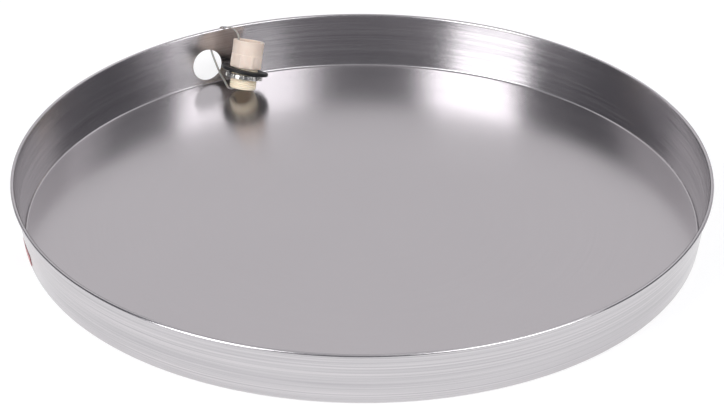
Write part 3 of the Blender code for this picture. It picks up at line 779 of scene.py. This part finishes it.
HEAD_SEAT = 0.0002              # how far its back stands past the strap, towards the wall
HEAD_TURN = math.radians(38.0)
HEAD_BEVEL = 0.0004
TAIL = (STRAP_WIDTH, STRAP_THICKNESS, 0.0046)
TAIL_PLACE = (0.0, 0.0007, -0.0042)     # in the head's own axes
TAIL_BEVEL = 0.00015
SLOT_WALL, SLOT_DEPTH = 2.2, 1.5        # of the slot in a block's ends, in its bevels
SLOT_SLOPE = 0.00012            # width of the slot's sloping sides


def wall_radius(height, side):
    """Radius of the wall at a height: side 1 is its outer face, -1 its inner, 0 the middle."""
    middle = WALL_START[0] + (height - WALL_START[1]) * math.tan(WALL_LEAN)
    return middle + side * HALF / math.cos(WALL_LEAN)


def around(radius, x, height):
    """The point at a radius from the pan's axis, at a given x and height, on the +Y side."""
    return Vector((x, math.sqrt(radius * radius - x * x), height))


def bowed(start, end, bows):
    """Points a share of the way from start to end, each pushed sideways and up."""
    return [start.lerp(end, share) + Vector((sideways, 0.0, upward))
            for share, sideways, upward in bows]


def tie_route():
    """Route points of the closed loop: rim, outside, hole, across the floor, bore, arch."""
    at_hole = math.sqrt((HOLE_RADIUS - GAP) ** 2 - (TIE_HOLE_X + 2 * GAP) ** 2)
    edge = HOLE_HEIGHT + at_hole
    side = Vector((math.cos(TIE_SIDE), math.sin(TIE_SIDE), 0.0))
    side = (side - side.dot(FITTING_AXIS) * FITTING_AXIS).normalized()

    def in_fitting(radius, along):
        return FITTING_FOOT + side * radius + FITTING_AXIS * along

    bead_radius, bead_height = float(BEAD_CENTRE[0]), float(BEAD_CENTRE[1])
    out = BEAD_RADIUS + TIE_CLEAR
    below = bead_height - BEAD_RADIUS / 2
    drift = TIE_RIM_X - 3 * TIE_RADIUS
    rim = [around(bead_radius, TIE_RIM_X, bead_height + out),
           around(bead_radius + 0.8 * out, (TIE_RIM_X + drift) / 2, bead_height + 0.6 * out),
           around(bead_radius + out, drift, below)]
    outside = []
    for share in (0.35, 0.7):
        height = edge + (below - edge) * (1 - share)
        stand_off = TIE_CLEAR + TIE_HANG * (1 - share)
        lead = drift + (TIE_HOLE_X + 2 * TIE_RADIUS - drift) * share
        outside.append(around(wall_radius(height, 1) + stand_off, lead, height))
    hole = [around(wall_radius(edge, 1) + 1.2 * TIE_CLEAR, TIE_HOLE_X + TIE_RADIUS,
                   edge + TIE_CLEAR),
            around(wall_radius(edge, 0), TIE_HOLE_X, edge - TIE_CLEAR),
            around(wall_radius(edge, -1) - TIE_REACH, TIE_HOLE_X - TIE_RADIUS,
                   edge - TIE_REACH)]
    shoulder = ADAPTER_LENGTH - SOCKET_DEPTH
    along_bore = THREAD_BORE - TIE_CLEAR
    along_socket = SOCKET_BORE - TIE_CLEAR - GAP
    fitting = [in_fitting(radius, along) for radius, along in (
        (THREAD_RADIUS + 4 * TIE_RADIUS, 2 * TIE_RADIUS),
        (THREAD_RADIUS + TIE_RADIUS, -TIE_CLEAR),
        ((THREAD_RADIUS + THREAD_BORE) / 2, -TIE_FOOT),
        (THREAD_BORE - GAP, -TIE_CLEAR),
        (along_bore - GAP, 3 * TIE_RADIUS),
        (along_bore, shoulder * 0.35),
        (along_bore - GAP, shoulder * 0.75),
        (along_bore, shoulder + 2 * TIE_RADIUS),
        ((along_bore + along_socket) / 2, shoulder + SOCKET_DEPTH / 2),
        (along_socket, ADAPTER_LENGTH - 4 * TIE_RADIUS),
        (along_socket + GAP, ADAPTER_LENGTH + 4 * TIE_RADIUS))]
    across = bowed(hole[-1], fitting[0], TIE_SWEEP)
    arch = bowed(fitting[-1], rim[0], TIE_ARCH)
    return rim + outside + hole + across + fitting + arch


def closed_curve(points, samples):
    """Points on the smooth closed curve through the route's points (Catmull-Rom)."""
    route = np.array([tuple(p) for p in points])
    before, after = np.roll(route, 1, axis=0), np.roll(route, -1, axis=0)
    later = np.roll(route, -2, axis=0)
    t = (np.arange(samples) / samples)[None, :, None]
    p0, p1, p2, p3 = (p[:, None, :] for p in (before, route, after, later))
    curve = 0.5 * (2 * p1 + (p2 - p0) * t + (2 * p0 - 5 * p1 + 4 * p2 - p3) * t ** 2
                   + (3 * p1 - p0 - 3 * p2 + p3) * t ** 3)
    return curve.reshape(-1, 3)


def strap_mesh(line):
    """Rounded flat section carried round the loop, its width as near the rim's way as it goes.

    The width is the X axis less its part along the strap, so the strap lies flat over the
    rim. The chart's V is the length along the strap, for the cross ribs of its ratchet.
    """
    ahead = np.roll(line, -1, axis=0) - np.roll(line, 1, axis=0)
    tangent = ahead / np.linalg.norm(ahead, axis=1)[:, None]
    wide = np.array([1.0, 0.0, 0.0]) - tangent[:, :1] * tangent
    wide /= np.linalg.norm(wide, axis=1)[:, None]
    thick = np.cross(tangent, wide)
    across, deep = STRAP_WIDTH / 2 - STRAP_EDGE, STRAP_THICKNESS / 2 - STRAP_EDGE
    section = np.array([point for x, y, start in ((across, deep, 0), (-across, deep, 90),
                                                  (-across, -deep, 180), (across, -deep, 270))
                        for point in arc((x, y), STRAP_EDGE, start, start + 90, 3)])
    points = (line[:, None] + section[None, :, :1] * wide[:, None]
              + section[None, :, 1:] * thick[:, None])
    along = np.cumsum(np.linalg.norm(np.diff(line, axis=0, prepend=line[-1:]), axis=1))
    chart = np.stack([np.tile(np.arange(len(section)) / len(section), len(line)),
                      np.repeat(along, len(section))], axis=1)
    return points.reshape(-1, 3), ring_faces(len(line), len(section)), chart


def slotted_block(size, bevel, place):
    """A block with rounded sides, its top and bottom set in round the strap's slot."""
    shape = bmesh.new()
    bmesh.ops.create_cube(shape, size=1.0, matrix=Matrix.Diagonal((*size, 1.0)))
    shape.normal_update()
    ends = [face for face in shape.faces if abs(face.normal.z) > 0.9]
    bmesh.ops.inset_individual(shape, faces=ends, thickness=bevel * SLOT_WALL, depth=0.0)
    bmesh.ops.inset_individual(shape, faces=ends, thickness=SLOT_SLOPE,
                               depth=-bevel * SLOT_DEPTH)
    outer = [edge for edge in shape.edges if edge.calc_face_angle(0.0) > math.radians(70.0)
             and max(abs(v.co.x) for v in edge.verts) > 0.4999 * size[0]]
    bmesh.ops.bevel(shape, geom=outer, offset=bevel, segments=3, affect="EDGES",
                    profile=0.5)
    points = placed(np.array([tuple(v.co) for v in shape.verts]), place)
    shape.verts.index_update()
    faces = [[v.index for v in face.verts] for face in shape.faces]
    shape.free()
    return points, faces


def cable_tie_mesh():
    """The strap round its loop, with its head and the cut tail where it passes the wall."""
    line = closed_curve(tie_route(), TIE_SAMPLES)
    points, faces, chart = strap_mesh(line)
    outside = line[line[:, 1] > wall_radius(PAN_DEPTH / 2, 1)]
    head_at = outside[np.abs(outside[:, 2] - BEAD_CENTRE[1] + HEAD_DROP).argmin()]
    head_at = Vector(head_at) + Vector((0.0, HEAD[1] / 2 - TIE_RADIUS - HEAD_SEAT, 0.0))
    head_place = Matrix.Translation(head_at) @ Matrix.Rotation(HEAD_TURN, 4, "Y")
    tail_place = head_place @ Matrix.Translation(TAIL_PLACE)
    for part_points, part_faces in (slotted_block(HEAD, HEAD_BEVEL, head_place),
                                    slotted_block(TAIL, TAIL_BEVEL, tail_place)):
        faces += [[i + len(points) for i in face] for face in part_faces]
        points = np.concatenate([points, part_points])
        chart = np.concatenate([chart, np.zeros((len(part_points), 2))])
    return finished_mesh("cable_tie_loop", points, faces, chart)


# Uncoloured nylon 66: milky and a little translucent, greyish over a pale ground, with the
# fine cross ribs of the ratchet all along the strap.
RIB_PITCH = 0.0010
WAVE_PITCH = math.tau / 20      # of the wave node's bands at a scale of 1
nylon, tree, shader = new_material("natural_nylon_66")
chart_place = add_node(tree, "ShaderNodeUVMap", {"uv_map": "chart"}).outputs["UV"]
ribs = add_node(tree, "ShaderNodeTexWave", {"wave_type": "BANDS", "bands_direction": "Y",
                                            "Scale": WAVE_PITCH / RIB_PITCH},
                {"Vector": chart_place})
weather(tree, shader, {"milk": (0.004, 3.0)}, tint=("milk", "#A3A19D", "#BBB8B2"),
        gloss=("milk", 0.28, 0.42), relief=(("ribs", 0.00010), ("milk", 0.00004)),
        drawn=[("ribs", ribs.outputs["Fac"])])
shader.inputs["IOR"].default_value = 1.53
shader.inputs["Transmission Weight"].default_value = 0.25
shader.inputs["Subsurface Weight"].default_value = 0.25
shader.inputs["Subsurface Scale"].default_value = 0.001

tie = new_piece("cable_tie_loop", cable_tie_mesh(), nylon, None, "natural_nylon", "cable_tie")
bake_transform(tie)


# ---------------------------------------------------------------- label
# A small sticker on the outside of the wall, printed red paper with rounded corners. It is
# blank here, and lies on the wall's own cone.
LABEL_HEADING = math.radians(165.5)
LABEL_LENGTH = 0.045
LABEL_BOTTOM = 0.006
LABEL_HEIGHT = 0.014
LABEL_THICKNESS = 0.0003
LABEL_CORNER = 0.002
LABEL_COLUMNS, LABEL_ROWS = 36, 14


def label_mesh():
    """A rounded rectangle laid on the cone, front and back joined at the edge.

    Each row's length is shortened near the top and the bottom by the corner's circle:
    length / 2 - corner + sqrt(corner² - depth into the corner²).
    """
    up = (1 - np.cos(np.linspace(0.0, math.pi, LABEL_ROWS + 1))) / 2 * LABEL_HEIGHT
    into = np.clip(np.maximum(LABEL_CORNER - up, up - LABEL_HEIGHT + LABEL_CORNER), 0.0, None)
    reach = LABEL_LENGTH / 2 - LABEL_CORNER + np.sqrt(LABEL_CORNER ** 2 - into ** 2)
    across = np.linspace(-1.0, 1.0, LABEL_COLUMNS + 1)
    turn = LABEL_HEADING + across[None, :] * reach[:, None] / RIM_RADIUS
    height = LABEL_BOTTOM + np.broadcast_to(up[:, None], turn.shape)
    points = []
    for lift in (GAP, GAP + LABEL_THICKNESS):
        radius = wall_radius(height, 1) + lift
        points.append(np.stack([radius * np.cos(turn), radius * np.sin(turn), height],
                               axis=2).reshape(-1, 3))
    number = np.arange(turn.size).reshape(turn.shape)
    quads = np.stack([number[:-1, :-1], number[1:, :-1], number[1:, 1:], number[:-1, 1:]],
                     axis=2).reshape(-1, 4)
    edge = np.concatenate([number[0], number[1:, -1], number[-1, -2::-1], number[-2:0:-1, 0]])
    after = np.roll(edge, -1)
    rim = np.stack([edge, after, after + turn.size, edge + turn.size], axis=1)
    faces = quads.tolist() + (quads + turn.size).tolist() + rim.tolist()
    return finished_mesh("wall_sticker", np.concatenate(points), faces)


# Printed coated paper: flat dull red with a thin clear coat, rubbed in places.
paper, tree, shader = new_material("printed_coated_paper")
weather(tree, shader, {"rubbed": (0.004, 5.0)}, tint=("rubbed", "#A85055", "#B5686C"),
        gloss=("rubbed", 0.35, 0.55), relief=(("rubbed", 0.00002),))
shader.inputs["Coat Weight"].default_value = 0.3
shader.inputs["Coat Roughness"].default_value = 0.2

new_piece("wall_sticker", label_mesh(), paper, "pan", "coated_paper", "wall_label")
